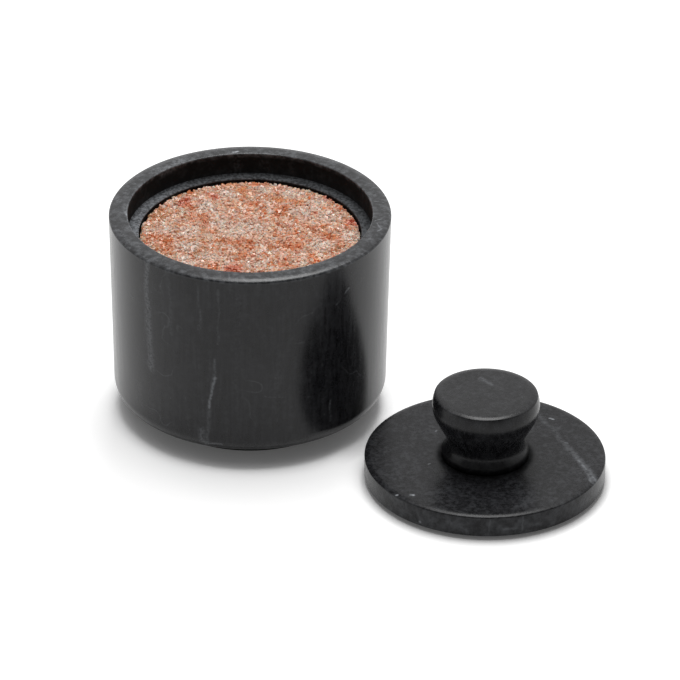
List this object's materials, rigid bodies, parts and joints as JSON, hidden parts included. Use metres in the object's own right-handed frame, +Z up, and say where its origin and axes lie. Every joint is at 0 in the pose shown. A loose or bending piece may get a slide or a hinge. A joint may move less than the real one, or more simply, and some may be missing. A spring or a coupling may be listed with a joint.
{
  "type": "salt cellar",
  "caption": "Round stone salt cellar on a recessed foot, filled with coarse salt, with a loose knobbed lid that drops into a seat in the rim.",
  "frame": {"origin": "the bowl's axis where its foot pad stands on the table", "axes": "+Z up along the bowl's axis, out of the mouth; the lid lies beside the bowl, towards +X and -Y"},
  "size_m": [0.1758, 0.1435, 0.0778],
  "materials": {
    "black_marble": "satin polish, near black with fine pale veins",
    "pink_salt": "coarse translucent crystals, pale pink to rust",
    "soft_pad": "matt black",
    "steel_pin": "drawn steel"
  },
  "bodies": {
    "pot": {"bowl": "black_marble", "foot_pad": "soft_pad", "salt_fill": "pink_salt"},
    "lid": {"lid_plate": "black_marble", "lid_knob": "black_marble", "knob_pin": "steel_pin"}
  },
  "joints": [
    {"name": "lid_lift", "type": "slide", "parent": "pot", "child": "lid", "axis": [0, 0, 1], "range_m": [0, 0.11]}
  ]
}
